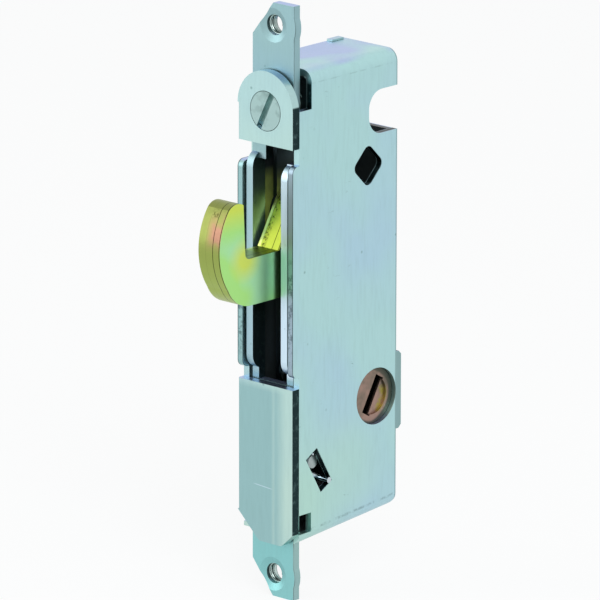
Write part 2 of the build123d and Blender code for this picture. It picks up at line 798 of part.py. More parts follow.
def make_hub_spring():
    slot_angle = math.radians(spring_slot_turn)
    nub_reach = spring_slot_length / 2 - spring_nub_inset
    nub_y = spring_slot_y + nub_reach * math.cos(slot_angle)
    nub_y -= spring_nub_aside * math.sin(slot_angle)
    nub_z = spring_slot_z + nub_reach * math.sin(slot_angle)
    nub_z += spring_nub_aside * math.cos(slot_angle)
    nub_distance = math.hypot(nub_y - spring_y, nub_z - spring_z)
    leg_turn = math.atan2(spring_y - nub_y, nub_z - spring_z)
    leg_turn -= math.acos(spring_coil_radius / nub_distance)
    turns = spring_full_turns + leg_turn / (2 * math.pi) % 1
    x_start = spring_end - turns * spring_pitch
    arcs = math.ceil(turns * spring_arcs_per_turn)
    climb = spring_pitch / (2 * math.pi * spring_coil_radius)
    stops = [coil_point(x_start, turns * i / arcs) for i in range(arcs + 1)]
    headings = [coil_heading(climb, turns * i / arcs) for i in range(arcs + 1)]
    headings[0] = coil_heading(0, 0)
    headings[-1] = coil_heading(0, turns)
    hub_arm_end = Vector(x_start, hub_y + spring_arm_past_hub, stops[0].Z)
    anchor = Vector(spring_end, nub_y, nub_z)
    with BuildPart() as spring:
        with BuildLine() as wire:
            Line(hub_arm_end, stops[0])
            for i in range(arcs):
                draw_biarc(stops[i], headings[i], stops[i + 1], headings[i + 1])
            Line(stops[-1], anchor)
        with BuildSketch(Plane(origin=hub_arm_end, z_dir=stops[0] - hub_arm_end)):
            RegularPolygon(spring_wire_radius, spring_wire_sides)
        sweep()
        with Locations(anchor):
            Sphere(spring_wire_radius)
        with BuildSketch(side_plane(spring_end)):
            with Locations((nub_y, nub_z)):
                Circle(spring_wire_radius)
        extrude(amount=half_case + spring_nub_proud - spring_end)
    print("hub_spring least gap, mm:", round(least_self_gap(wire.wire()), 3))
    write_piece(spring, "hub_spring")


def make_posts():
    write_rod("upper_post", -half_case, inner_side, post_radius, (upper_post_y, upper_post_z))
    write_rod("rear_post", -half_case, inner_side, post_radius, (rear_post_y, rear_post_z))
    write_rod("spring_post", -half_case, inner_side, spring_post_radius, (spring_y, spring_z))


make_face_plate()
make_case_right()
make_case_left()
make_adjusting_screw()
make_carriage()
make_hook()
make_slide_bar()
make_hub()
make_hub_spring()
make_posts()
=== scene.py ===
"""Looks of a sliding patio door mortise lock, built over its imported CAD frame.

The frame is in metres: X across the case, -Y out of the door edge, +Z up.
"""

import logging
import math
from collections.abc import Callable
from dataclasses import dataclass
from enum import Enum
from typing import Any

import bmesh
import bpy
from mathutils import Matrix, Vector


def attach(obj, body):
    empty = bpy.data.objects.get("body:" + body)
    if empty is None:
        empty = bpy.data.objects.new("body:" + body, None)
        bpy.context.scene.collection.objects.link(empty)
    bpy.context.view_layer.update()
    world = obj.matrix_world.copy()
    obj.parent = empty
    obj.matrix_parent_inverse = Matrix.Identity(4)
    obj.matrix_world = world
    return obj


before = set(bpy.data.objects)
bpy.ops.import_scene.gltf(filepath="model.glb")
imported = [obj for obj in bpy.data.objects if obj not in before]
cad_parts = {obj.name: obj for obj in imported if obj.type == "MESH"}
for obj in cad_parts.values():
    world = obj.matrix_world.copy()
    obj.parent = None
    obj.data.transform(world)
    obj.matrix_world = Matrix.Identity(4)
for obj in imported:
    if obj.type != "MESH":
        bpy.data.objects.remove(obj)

LOG = logging.getLogger("door_lock")
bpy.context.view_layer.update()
MM = 0.001
# Edges that turn by more than this many degrees are rounded
SHARP_DEG = 40
# Places that sub-assemblies share: the cheeks' heights, with and without the bends at their
# ends, and the hub's axis as depth and height
CHEEK_MM = (-12.5, 24.9)
CHEEK_FLAT_MM = (-11.8, 24.2)
HUB_MM = (18.6, -18.83)

Socket = bpy.types.NodeSocket
Value = Socket | float
Colour = Socket | str
Pair = tuple[float, float]
Triple = tuple[float, float, float]


class Grain(Enum):
    """The way a metal was worked, as the scale of its fine marks along each axis."""

    ROLLED_UPRIGHT = (1.0, 1.0, 0.12)
    RUBBED_INWARD = (1.0, 0.35, 1.0)
    TURNED = (1.0, 0.08, 0.08)


def linear(hex_colour: str) -> tuple[float, float, float, float]:
    """Turns an sRGB hex colour to the linear values that Blender takes.

    Args:
        hex_colour: Six hex digits with a leading hash.

    Returns:
        Linear red, green, blue and an alpha of 1.
    """
    parts = [int(hex_colour[i:i + 2], 16) / 255 for i in (1, 3, 5)]
    toned = [p / 12.92 if p <= 0.04045 else ((p + 0.055) / 1.055) ** 2.4 for p in parts]
    return (toned[0], toned[1], toned[2], 1.0)


def per_metre(size_mm: float) -> float:
    """Texture scale for a pattern of a real size in millimetres."""
    return 1000.0 / size_mm


def add_node(tree: bpy.types.NodeTree, kind: str, links: dict[int | str, Any] | None = None,
             **settings: Any) -> bpy.types.Node:
    """Adds a node with its settings, constants and links.

    Args:
        tree: Node tree that takes the node.
        kind: Blender's name of the node type.
        links: For each input, by name or number, a socket to link or a constant.
        settings: Properties of the node itself.

    Returns:
        The new node.
    """
    node = tree.nodes.new(kind)
    for name, value in settings.items():
        setattr(node, name, value)
    for key, value in (links or {}).items():
        if isinstance(value, Socket):
            tree.links.new(value, node.inputs[key])
        else:
            node.inputs[key].default_value = value
    return node


def maths(tree: bpy.types.NodeTree, operation: str, first: Value, second: Value = 0.0) -> Socket:
    """Result of one arithmetic step.

    Args:
        tree: Node tree that takes the step.
        operation: Blender's name of the operation.
        first: A socket or a number.
        second: A socket or a number.

    Returns:
        The output socket.
    """
    node = add_node(tree, "ShaderNodeMath", {0: first, 1: second}, operation=operation)
    return node.outputs[0]


class Patterns:
    """A new material, and the sockets and steps that every finish draws its patterns with."""

    def __init__(self, name: str) -> None:
        """Starts a material with its shader and its object coordinates.

        Args:
            name: The material's name.
        """
        self.material = bpy.data.materials.new(name)
        self.material.use_nodes = True
        self.tree = self.material.node_tree
        self.shader = self.tree.nodes["Principled BSDF"]
        self.place = add_node(self.tree, "ShaderNodeTexCoord")
        split = add_node(self.tree, "ShaderNodeSeparateXYZ", {0: self.place.outputs["Object"]})
        self.x, self.y, self.z = split.outputs
        facing = add_node(self.tree, "ShaderNodeSeparateXYZ", {0: self.place.outputs["Normal"]})
        self.facing_x, self.facing_y, self.facing_z = facing.outputs

    def noise(self, size_mm: float, detail: float = 2.0, roughness: float = 0.5,
              stretch: Triple = (1.0, 1.0, 1.0), shift: Triple = (0.0, 0.0, 0.0)) -> Socket:
        """Soft random pattern.

        Args:
            size_mm: Size of one blotch.
            detail: Number of finer layers.
            roughness: Strength of the finer layers.
            stretch: Scale along each axis, small where the pattern is drawn out.
            shift: Place that the pattern starts from.

        Returns:
            A socket from 0 to 1.
        """
        spread = add_node(self.tree, "ShaderNodeMapping",
                          {0: self.place.outputs["Object"], 1: shift, 3: stretch})
        node = add_node(self.tree, "ShaderNodeTexNoise",
                        {0: spread.outputs[0], "Scale": per_metre(size_mm), "Detail": detail,
                         "Roughness": roughness})
        return node.outputs[0]

    def cells(self, size_mm: float) -> Socket:
        """Distance from the nearest of scattered points, in cell widths."""
        node = add_node(self.tree, "ShaderNodeTexVoronoi",
                        {0: self.place.outputs["Object"], "Scale": per_metre(size_mm)})
        return node.outputs["Distance"]

    def above(self, value: Value, low: float, high: float) -> Socket:
        """Mask that goes from 0 at one value to 1 at the other."""
        return add_node(self.tree, "ShaderNodeMapRange", {0: value, 1: low, 2: high}).outputs[0]

    def beyond(self, place: Value, start_mm: float, end_mm: float) -> Socket:
        """Mask that goes from 0 at one place to 1 at the other, both in millimetres."""
        return self.above(place, start_mm * MM, end_mm * MM)

    def band(self, place: Value, low_mm: float, high_mm: float, soft_mm: float) -> Socket:
        """Mask that is 1 while a place lies between two limits.

        Args:
            place: The socket that is tested, in metres.
            low_mm: Lower limit.
            high_mm: Upper limit.
            soft_mm: Half the width over which the mask fades at each limit.

        Returns:
            The mask.
        """
        rise = self.beyond(place, low_mm - soft_mm, low_mm + soft_mm)
        fall = self.beyond(place, high_mm + soft_mm, high_mm - soft_mm)
        return self.times(rise, fall)

    def faces_out(self) -> Socket:
        """Mask of the faces that look out of the door's edge."""
        return self.above(self.facing_y, -0.5, -0.8)

    def times(self, first: Value, *others: Value) -> Socket:
        """Product of values, such as masks that all have to hold.

        Args:
            first: A socket or a number.
            others: More of them.

        Returns:
            The product.
        """
        for other in others:
            first = maths(self.tree, "MULTIPLY", first, other)
        return first

    def most(self, first: Value, *others: Value) -> Socket:
        """Largest of values, such as masks of which one has to hold.

        Args:
            first: A socket or a number.
            others: More of them.

        Returns:
            The largest.
        """
        for other in others:
            first = maths(self.tree, "MAXIMUM", first, other)
        return first

    def plus(self, first: Value, second: Value) -> Socket:
        """Sum of two values."""
        return maths(self.tree, "ADD", first, second)

    def minus(self, first: Value, second: Value) -> Socket:
        """Difference of two values."""
        return maths(self.tree, "SUBTRACT", first, second)

    def size(self, value: Value) -> Socket:
        """A value without its sign."""
        return maths(self.tree, "ABSOLUTE", value)

    def without(self, mask: Value) -> Socket:
        """Mask of all that another mask leaves out."""
        return self.minus(1.0, mask)

    def lift(self, mask: Value, least: float, gain: float) -> Socket:
        """A mask that never falls below its least value, and rises from it by a gain."""
        return self.plus(least, self.times(mask, gain))

    def from_axis(self, axis_mm: Pair) -> Socket:
        """Distance from an axis that runs across the case.

        Args:
            axis_mm: Depth and height of the axis.

        Returns:
            The distance, in metres.
        """
        across = self.minus(self.y, axis_mm[0] * MM)
        rise = self.minus(self.z, axis_mm[1] * MM)
        squares = self.plus(self.times(across, across), self.times(rise, rise))
        return maths(self.tree, "SQRT", squares)

    def blend(self, mask: Value, under: Colour, over: Colour) -> Socket:
        """Lays one colour over another.

        Args:
            mask: From 0, the lower colour, to 1, the upper.
            under: Socket or hex colour beneath.
            over: Socket or hex colour on top.

        Returns:
            The blended colour.
        """
        low, high = [linear(c) if isinstance(c, str) else c for c in (under, over)]
        node = add_node(self.tree, "ShaderNodeMix", {0: mask, 6: low, 7: high}, data_type="RGBA")
        return node.outputs[2]

    def set_colour(self, colour: Socket) -> None:
        """Links the base colour."""
        self.tree.links.new(colour, self.shader.inputs["Base Color"])

    def set_roughness(self, value: Socket, low: float, high: float) -> None:
        """Links a roughness that follows a pattern between two limits."""
        node = add_node(self.tree, "ShaderNodeMapRange", {0: value, 3: low, 4: high})
        self.tree.links.new(node.outputs[0], self.shader.inputs["Roughness"])

    def set_bump(self, height: Socket, depth_mm: float, strength: float) -> None:
        """Links a relief of a real depth in millimetres."""
        node = add_node(self.tree, "ShaderNodeBump",
                        {"Height": height, "Distance": depth_mm * MM, "Strength": strength})
        self.tree.links.new(node.outputs[0], self.shader.inputs["Normal"])

    def metal(self) -> bpy.types.Material:
        """Makes the surface a full metal and hands the material over."""
        self.shader.inputs["Metallic"].default_value = 1.0
        return self.material


Mask = Callable[[Patterns], Socket]


@dataclass(frozen=True)
class ZincPlatedSheet:
    """Cold rolled steel, pressed, then barrel plated with clear zinc."""

    # To the eye: a satin, slightly bluish metal with soft clouds. The barrel leaves specks and
    # rub lines, and the sheared edges stay coarse. Their dark colour is partly painted shade
    name: str
    body_hex: str = "#B0D7D8"
    cloud_hex: str = "#AED0DE"
    warm_hex: str = "#B4DAD0"
    # Painted reflection of lavender light on the level top
    top_reflection_hex: str = "#AEBFE2"
    shade_hex: str = "#98BEBE"
    mark_hex: str = "#6F918F"
    # Fine dark marks, and painted shade along edges and corners
    line_hex: str = "#26393B"
    # Sheared edges, and painted shade on the walls of openings
    shear_and_shade_hex: str = "#1B3032"
    # Painted shade inside the case, and a painted reflection of the yellow hook beside it
    inside_shade_hex: str = "#343C3E"
    hook_reflection_hex: str = "#B9CC66"
    # Pale scratches, and painted highlights on the face plate's strips
    scratch_and_highlight_hex: str = "#CFE4F2"
    cloud_mm: float = 17.0
    top_reflection_mm: float = 11.0
    patch_mm: float = 9.0
    speck_mm: float = 3.4
    rub_mm: float = 1.1
    shear_mm: float = 0.9
    grain_mm: float = 0.5
    gloss_mm: float = 6.0
    blotch_mm: float = 4.0
    beside_hook_mm: Pair = (3.5, 19.5)
    beside_hook_deep_mm: Pair = (12.0, 6.0)
    smooth: float = 0.30
    rough: float = 0.46

    def make(self, shear_and_shade: Mask | None = None, inside: Mask | None = None,
             shade: Mask | None = None, lines: Mask | None = None,
             scratch_and_highlight: Mask | None = None) -> bpy.types.Material:
        """Builds the material, with masks for the places that differ from its plain face.

        Args:
            shear_and_shade: Sheared edges, with painted shade on the walls of openings.
            inside: Inner faces, darkened with painted shade.
            shade: Faces drawn darker and greyer: painted shade on the lower ear and the cover,
                and in part on the cheeks' front edges.
            lines: Fine dark lines: marks and tears, and painted shade along edges and corners.
            scratch_and_highlight: Places drawn pale: a scratch, and painted highlights on the
                strips.

        Returns:
            The material.
        """
        look = Patterns(self.name)
        colour = self.plating(look)
        for mask, over in ((shade, self.shade_hex), (scratch_and_highlight, self.scratch_and_highlight_hex)):
            if mask is not None:
                colour = look.blend(mask(look), colour, over)
        marks = self.barrel_marks(look)
        colour = look.blend(marks, colour, self.mark_hex)
        # Rolling grain is finer than the render shows, so it is drawn at half a millimetre
        grain = look.noise(self.grain_mm, 2.0, 0.6, stretch=Grain.ROLLED_UPRIGHT.value)
        colour = look.blend(look.times(look.above(grain, 0.45, 0.75), 0.10), colour,
                            self.mark_hex)
        height = grain
        # Sheared edges get a coarse relief, and on the walls of openings their dark is painted
        # shade
        if shear_and_shade is not None:
            coarse = look.noise(self.shear_mm, 4.0, 0.7)
            torn = look.blend(look.above(coarse, 0.54, 1.0), self.shear_and_shade_hex, self.mark_hex)
            edges = shear_and_shade(look)
            colour = look.blend(edges, colour, torn)
            height = look.plus(grain, look.times(edges, coarse))
        if lines is not None:
            colour = look.blend(lines(look), colour, self.line_hex)
        if inside is not None:
            # Painted shade darkens the faces inside the case, and a painted reflection of the
            # yellow hook lies on the wall beside it
            layer = inside(look)
            shade_and_reflection = look.blend(self.hook_reflection(look), self.inside_shade_hex, self.hook_reflection_hex)
            colour = look.blend(layer, colour, shade_and_reflection)
            look.tree.links.new(look.without(layer), look.shader.inputs["Metallic"])
        look.set_colour(colour)
        gloss = look.plus(look.noise(self.gloss_mm), marks)
        look.set_roughness(gloss, self.smooth, self.rough)
        look.set_bump(height, 0.012, 0.35)
        return look.metal()

    def plating(self, look: Patterns) -> Socket:
        """Colour of the plating: soft clouds, and on the level top a painted lavender reflection
        in patches.

        Args:
            look: The finish's patterns.

        Returns:
            The colour.
        """
        cloud = look.noise(self.cloud_mm, 2.0, 0.45)
        warm = look.noise(self.cloud_mm * 1.6, 1.0, 0.4, shift=(0.3, 0.1, 0.7))
        colour = look.blend(look.above(cloud, 0.42, 0.72), self.body_hex, self.cloud_hex)
        colour = look.blend(look.above(warm, 0.5, 0.75), colour, self.warm_hex)
        reflection_patches = look.noise(self.top_reflection_mm, 1.0, 0.4, shift=(0.15, 0.62, 0.0))
        # The painted lavender reflection only lies on faces that look up
        top = look.times(look.above(look.facing_z, 0.7, 0.9), look.above(reflection_patches, 0.28, 0.46))
        return look.blend(top, colour, self.top_reflection_hex)

    def barrel_marks(self, look: Patterns) -> Socket:
        """Mask of the specks and rub lines that the plating barrel leaves in patches.

        Args:
            look: The finish's patterns.

        Returns:
            The mask.
        """
        patch = look.noise(self.patch_mm, 2.0, 0.6, shift=(0.2, 0.5, 0.1))
        specks = look.times(look.above(look.cells(self.speck_mm), 0.10, 0.03),
                            look.above(patch, 0.47, 0.56))
        rubs = look.noise(self.rub_mm, 3.0, 0.7, stretch=Grain.RUBBED_INWARD.value,
                          shift=(0.9, 0.4, 0.2))
        rubs = look.times(look.above(rubs, 0.66, 0.74), look.above(patch, 0.55, 0.7))
        return look.times(look.most(specks, rubs), 0.7)

    def hook_reflection(self, look: Patterns) -> Socket:
        """Mask of the inner wall's patch that holds a painted reflection of the hook's left
        plate.

        Args:
            look: The finish's patterns.

        Returns:
            The mask.
        """
        blotch = look.noise(self.blotch_mm, shift=(0.0, 0.2, 0.5))
        return look.times(look.band(look.z, *self.beside_hook_mm, 2.0),
                          look.beyond(look.y, *self.beside_hook_deep_mm),
                          look.lift(look.above(blotch, 0.25, 0.6), 0.4, 0.6))


@dataclass(frozen=True)
class ShadedZincSheet(ZincPlatedSheet):
    """Zinc plated sheet of the moving pieces inside the case."""

    # To the eye: the same metal, painted grey and dim as shade, since these pieces sit deep in
    # the case
    body_hex: str = "#55666A"
    cloud_hex: str = "#4A5C66"
    warm_hex: str = "#5E6E62"
    mark_hex: str = "#2A3434"


@dataclass(frozen=True)
class YellowChromateSteel:
    """Stamped steel with a yellow zinc chromate film."""

    # To the eye: the film is a few light waves thick, so it shifts between yellow-green, lime
    # and mint over the flat sides. On the blanked rims it is olive, with a blush of copper
    # pink, and the rims stay rough where the sheet tore
    name: str = "yellow_chromate_steel"
    lime_hex: str = "#AAE386"
    mint_hex: str = "#A9E2AE"
    yellow_hex: str = "#D2DE54"
    rim_hex: str = "#A0B35C"
    tan_hex: str = "#88914E"
    pink_hex: str = "#A87E68"
    shank_hex: str = "#A6B63A"
    # Painted highlight along the shank's left corner
    shank_highlight_hex: str = "#E2EA90"
    burr_hex: str = "#4C5222"
    seam_hex: str = "#161806"
    film_mm: float = 9.0
    blotch_mm: float = 2.6
    grain_mm: float = 0.6
    burr_mm: float = 0.5
    burr_relief_mm: float = 0.45
    plate_mm: float = 1.58
    tip_mm: Pair = (14.5, 18.2)
    throat_mm: Pair = (-9.25, 9.4)
    throat_reach_mm: Pair = (4.2, 1.2)
    tan_mm: Pair = (6.0, 16.5)
    blush_mm: Pair = (12.5, 17.2)
    blush_across_mm: Pair = (-1.2, 0.6)
    blush_deep_mm: Pair = (-5.0, -8.0)
    dent_mm: Pair = (17.1, 18.2)
    shank_mm: float = -4.0
    shank_fade_mm: float = 0.6
    # Places across the rim, counted in plate thicknesses from its middle
    highlight_rim: Pair = (-1.6, -1.15)
    rough_rim: Pair = (-1.15, -0.55)
    dent_rim: Pair = (-0.4, 0.45)

    def make(self) -> bpy.types.Material:
        """Builds the material.

        Returns:
            The material.
        """
        look = Patterns(self.name)
        rim = look.above(look.size(look.facing_x), 0.6, 0.3)
        colour = look.blend(rim, self.side_colour(look), self.rim_colour(look))
        colour = look.blend(look.times(rim, self.joints(look)), colour, self.seam_hex)
        look.set_colour(colour)
        grain = look.noise(self.grain_mm, 3.0, 0.6)
        look.set_roughness(grain, 0.26, 0.44)
        coarse = look.times(look.noise(self.burr_relief_mm, 3.0, 0.7), self.torn_rim(look))
        look.set_bump(look.plus(look.times(grain, 0.3), coarse), 0.05, 0.6)
        return look.metal()

    def side_colour(self, look: Patterns) -> Socket:
        """Colour of the flat sides, yellower at the tip and round the throat.

        Args:
            look: The finish's patterns.

        Returns:
            The colour.
        """
        layer = look.noise(self.film_mm, 1.0, 0.45, shift=(0.1, 0.23, 0.4))
        colour = look.blend(look.above(layer, 0.51, 0.67), self.lime_hex, self.mint_hex)
        tip = look.beyond(look.z, *self.tip_mm)
        near = look.beyond(look.from_axis(self.throat_mm), *self.throat_reach_mm)
        return look.blend(look.times(look.most(tip, near), 0.85), colour, self.yellow_hex)

    def rim_colour(self, look: Patterns) -> Socket:
        """Colour of the blanked rims: olive low down, tan higher up, with a pink blush, and a
        painted highlight along the shank's left corner.

        Args:
            look: The finish's patterns.

        Returns:
            The colour.
        """
        colour = look.blend(look.beyond(look.z, *self.tan_mm), self.rim_hex, self.tan_hex)
        blotch = look.noise(self.blotch_mm, 2.0, 0.55, shift=(0.4, 0.9, 0.3))
        blush = look.times(look.band(look.z, *self.blush_mm, 1.2),
                           look.beyond(look.x, *self.blush_across_mm),
                           look.above(blotch, 0.3, 0.55),
                           look.beyond(look.y, *self.blush_deep_mm))
        colour = look.blend(blush, colour, self.pink_hex)
        shank = look.beyond(look.y, self.shank_mm - self.shank_fade_mm, self.shank_mm)
        colour = look.blend(look.times(shank, 0.8), colour, self.shank_hex)
        # A painted highlight along the left corner of the shank's rim
        corner = self.rim_band(look, self.highlight_rim, 0.1)
        colour = look.blend(look.times(corner, shank, 0.8), colour, self.shank_highlight_hex)
        speck = look.noise(self.burr_mm, 3.0, 0.75)
        torn = look.times(look.above(speck, 0.46, 0.6), self.torn_rim(look))
        return look.blend(torn, colour, self.burr_hex)

    def rim_band(self, look: Patterns, plates: Pair, soft_mm: float) -> Socket:
        """Mask of a band across the rim, between two places in plate thicknesses."""
        low, high = (place * self.plate_mm for place in plates)
        return look.band(look.x, low, high, soft_mm)

    def torn_rim(self, look: Patterns) -> Socket:
        """Mask of the left plate's rough rim along the shank, and of the dent at the tip.

        Args:
            look: The finish's patterns.

        Returns:
            The mask.
        """
        left = self.rim_band(look, self.rough_rim, 0.1)
        shank = look.beyond(look.y, self.shank_mm, self.shank_mm + self.shank_fade_mm)
        middle = self.rim_band(look, self.dent_rim, 0.2)
        dent = look.times(middle, look.band(look.z, *self.dent_mm, 0.4))
        return look.most(look.times(left, shank), dent)

    def joints(self, look: Patterns) -> Socket:
        """Mask of the lines between the plates and along the right plate's outer corner.

        Args:
            look: The finish's patterns.

        Returns:
            The mask.
        """
        half = self.plate_mm / 2
        faint = look.band(look.x, -half - 0.03, -half + 0.03, 0.03)
        clear = look.band(look.x, half - 0.06, half + 0.06, 0.03)
        corner = look.band(look.x, 3 * half - 0.24, 3 * half - 0.08, 0.04)
        return look.plus(look.plus(look.times(faint, 0.3), clear), look.times(corner, 0.95))


@dataclass(frozen=True)
class CopperFlashedCasting:
    """Zinc die casting with a copper flash."""

    # To the eye: a copper skin, dulled to pinkish grey by handling, with painted shade on its
    # outer ring
    name: str = "copper_flashed_casting"
    body_hex: str = "#A3877B"
    dull_hex: str = "#766E62"
    # Painted shade on the hub's outer ring
    rim_shade_hex: str = "#5B5A50"
    brass_hex: str = "#A9A03A"
    dark_hex: str = "#1A1009"
    cloud_mm: float = 4.0
    grain_mm: float = 0.5

    def make(self, dark: Mask, brass: Mask, hub_ring: Mask) -> bpy.types.Material:
        """Builds the material.

        Args:
            dark: Mask of the unlit keyway.
            brass: Mask of the step's yellow wear.
            hub_ring: Mask of the painted shade on the outer ring.

        Returns:
            The material.
        """
        look = Patterns(self.name)
        cloud = look.noise(self.cloud_mm, 3.0, 0.55)
        colour = look.blend(look.above(cloud, 0.45, 0.7), self.body_hex, self.dull_hex)
        for mask, over in ((hub_ring, self.rim_shade_hex), (brass, self.brass_hex),
                           (dark, self.dark_hex)):
            colour = look.blend(mask(look), colour, over)
        look.set_colour(colour)
        grain = look.noise(self.grain_mm, 3.0, 0.6)
        look.set_roughness(grain, 0.34, 0.55)
        look.set_bump(grain, 0.02, 0.4)
        return look.metal()


@dataclass(frozen=True)
class TurnedPinSteel:
    """Bright drawn steel, turned to size and oiled."""

    # To the eye: fine rings round the pin, and a dull film of oil in clouds
    name: str = "turned_pin_steel"
    body_hex: str = "#A8B4B4"
    dull_hex: str = "#596464"
    ring_mm: float = 0.35
    cloud_mm: float = 5.0
    smooth: float = 0.2
    rough: float = 0.38

    def make(self) -> bpy.types.Material:
        """Builds the material.

        Returns:
            The material.
        """
        look = Patterns(self.name)
        rings = look.noise(self.ring_mm, stretch=Grain.TURNED.value)
        cloud = look.noise(self.cloud_mm)
        look.set_colour(look.blend(look.above(cloud, 0.45, 0.75), self.body_hex, self.dull_hex))
        look.set_roughness(rings, self.smooth, self.rough)
        look.set_bump(rings, 0.01, 0.3)
        return look.metal()


@dataclass(frozen=True)
class ThreadedZincSteel:
    """Cold headed screw with rolled threads and clear zinc plating."""

    # To the eye: a pale satin head, and painted shade as dark lines in the grooves of the thread
    name: str = "threaded_zinc_steel"
    body_hex: str = "#A2BFBD"
    dull_hex: str = "#6C8583"
    # Painted shade in the thread's grooves
    groove_shade_hex: str = "#1C2424"
    cloud_mm: float = 3.0
    grain_mm: float = 0.8
    pitch_mm: float = 0.8
    head_back_mm: Pair = (1.8, 2.2)

    def make(self) -> bpy.types.Material:
        """Builds the material, with painted shade in the thread's grooves behind the head.

        Returns:
            The material.
        """
        look = Patterns(self.name)
        turns = look.times(look.y, 2 * math.pi / (self.pitch_mm * MM))
        shank = look.beyond(look.y, *self.head_back_mm)
        thread = look.times(maths(look.tree, "SINE", turns), shank)
        cloud = look.noise(self.cloud_mm, 3.0, 0.55)
        colour = look.blend(look.above(cloud, 0.45, 0.7), self.body_hex, self.dull_hex)
        groove_shade = look.times(look.above(thread, 0.2, -0.6), shank)
        look.set_colour(look.blend(groove_shade, colour, self.groove_shade_hex))
        look.set_roughness(look.noise(self.grain_mm, 3.0), 0.28, 0.45)
        look.set_bump(thread, 0.2, 0.6)
        return look.metal()


def round_edges(node: bpy.types.Object, width_mm: float) -> None:
    """Rounds the sharp edges of a CAD node with a modifier.

    Args:
        node: The node's object.
        width_mm: Width of the rounding.
    """
    rounding = node.modifiers.new("edge_round", "BEVEL")
    rounding.width = width_mm * MM
    rounding.segments = 2
    rounding.limit_method = "ANGLE"
    rounding.angle_limit = math.radians(SHARP_DEG)
    rounding.use_clamp_overlap = True
    rounding.harden_normals = True


def dress(name: str, finish: bpy.types.Material, round_mm: float = 0.0) -> None:
    """Gives a CAD node its finish.

    Args:
        name: The node's name.
        finish: Its material.
        round_mm: Width of its edge rounding, or 0 for none.
    """
    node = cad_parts[name]
    if not node.material_slots:
        node.data.materials.append(finish)
    for place in node.material_slots:
        place.material = finish
    if round_mm:
        round_edges(node, round_mm)
    LOG.info("dressed %s with %s", name, finish.name)


def add_piece(name: str, mesh: bpy.types.Mesh, body: str,
              finish: bpy.types.Material) -> None:
    """Adds a piece that rides on a body.

    Args:
        name: The piece's name.
        mesh: Its mesh, in metres, in the shared frame.
        body: The body that it rides on.
        finish: Its material.
    """
    piece = bpy.data.objects.new(name, mesh)
    bpy.context.scene.collection.objects.link(piece)
    piece.data.materials.append(finish)
    for face in piece.data.polygons:
        face.use_smooth = True
    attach(piece, body)
    LOG.info("built %s on %s", name, body)


@dataclass(frozen=True)
class TappedHole:
    """The thread of one fixing hole, and the short collar that the punch drew out behind it."""

    height_mm: float
    root_mm: float = 1.78
    crest_mm: float = 1.42
    pitch_mm: float = 0.86
    start_mm: float = 0.42
    end_mm: float = 2.95
    steps: int = 28
    plate_back_mm: float = 1.42
    collar_mm: float = 2.5
    lip_mm: float = 0.1

    def point(self, radius_mm: float, angle: float, depth_mm: float) -> Triple:
        """A place in the hole, in metres, from its radius, angle and depth."""
        return (radius_mm * math.cos(angle) * MM, depth_mm * MM,
                (self.height_mm + radius_mm * math.sin(angle)) * MM)

    def join(self, form: bmesh.types.BMesh, rows: list[list[bmesh.types.BMVert]]) -> None:
        """Joins loops of points, each to the next, with faces.

        Args:
            form: The form that takes the faces.
            rows: The loops, all with the same number of points.
        """
        for before, after in zip(rows, rows[1:]):
            for k in range(len(before)):
                beside = (k + 1) % len(before)
                form.faces.new((before[k], before[beside], after[beside], after[k]))

    def as_mesh(self, form: bmesh.types.BMesh, name: str) -> bpy.types.Mesh:
        """Turns a form's faces outwards and makes its mesh.

        Args:
            form: The form, which is freed.
            name: The mesh's name.

        Returns:
            The mesh.
        """
        bmesh.ops.recalc_face_normals(form, faces=form.faces)
        mesh = bpy.data.meshes.new(name)
        form.to_mesh(mesh)
        form.free()
        return mesh

    def collar(self, name: str) -> bpy.types.Mesh:
        """Builds the collar behind the ear, as one turned ring.

        Args:
            name: The mesh's name.

        Returns:
            The mesh.
        """
        lip = self.end_mm + self.lip_mm
        profile = ((self.root_mm, self.plate_back_mm), (self.root_mm, self.end_mm),
                   (self.root_mm + 0.12, lip), (self.collar_mm - 0.25, lip),
                   (self.collar_mm - 0.05, self.end_mm - 0.15),
                   (self.collar_mm, self.plate_back_mm + 0.5),
                   (self.collar_mm + 0.3, self.plate_back_mm))
        form = bmesh.new()
        turns = 2 * self.steps
        rows = []
        for i in range(turns):
            angle = 2 * math.pi * i / turns
            rows.append([form.verts.new(self.point(radius, angle, depth))
                         for radius, depth in profile])
        self.join(form, rows + rows[:1])
        return self.as_mesh(form, name)

    def thread(self, name: str) -> bpy.types.Mesh:
        """Builds the thread crests, as a triangular ridge that winds along the hole.

        Args:
            name: The mesh's name.

        Returns:
            The mesh.
        """
        half = self.pitch_mm * 0.3
        span = self.end_mm - self.start_mm - 2 * half
        turns = span / self.pitch_mm
        count = max(3, round(turns * self.steps))
        profile = ((self.root_mm, -half), (self.crest_mm, 0.0), (self.root_mm, half))
        form = bmesh.new()
        rows = []
        for i in range(count + 1):
            angle = 2 * math.pi * turns * i / count
            middle = self.start_mm + half + span * i / count
            rows.append([form.verts.new(self.point(radius, angle, middle + shift))
                         for radius, shift in profile])
        self.join(form, rows)
        form.faces.new(rows[0][::-1])
        form.faces.new(rows[-1])
        return self.as_mesh(form, name)


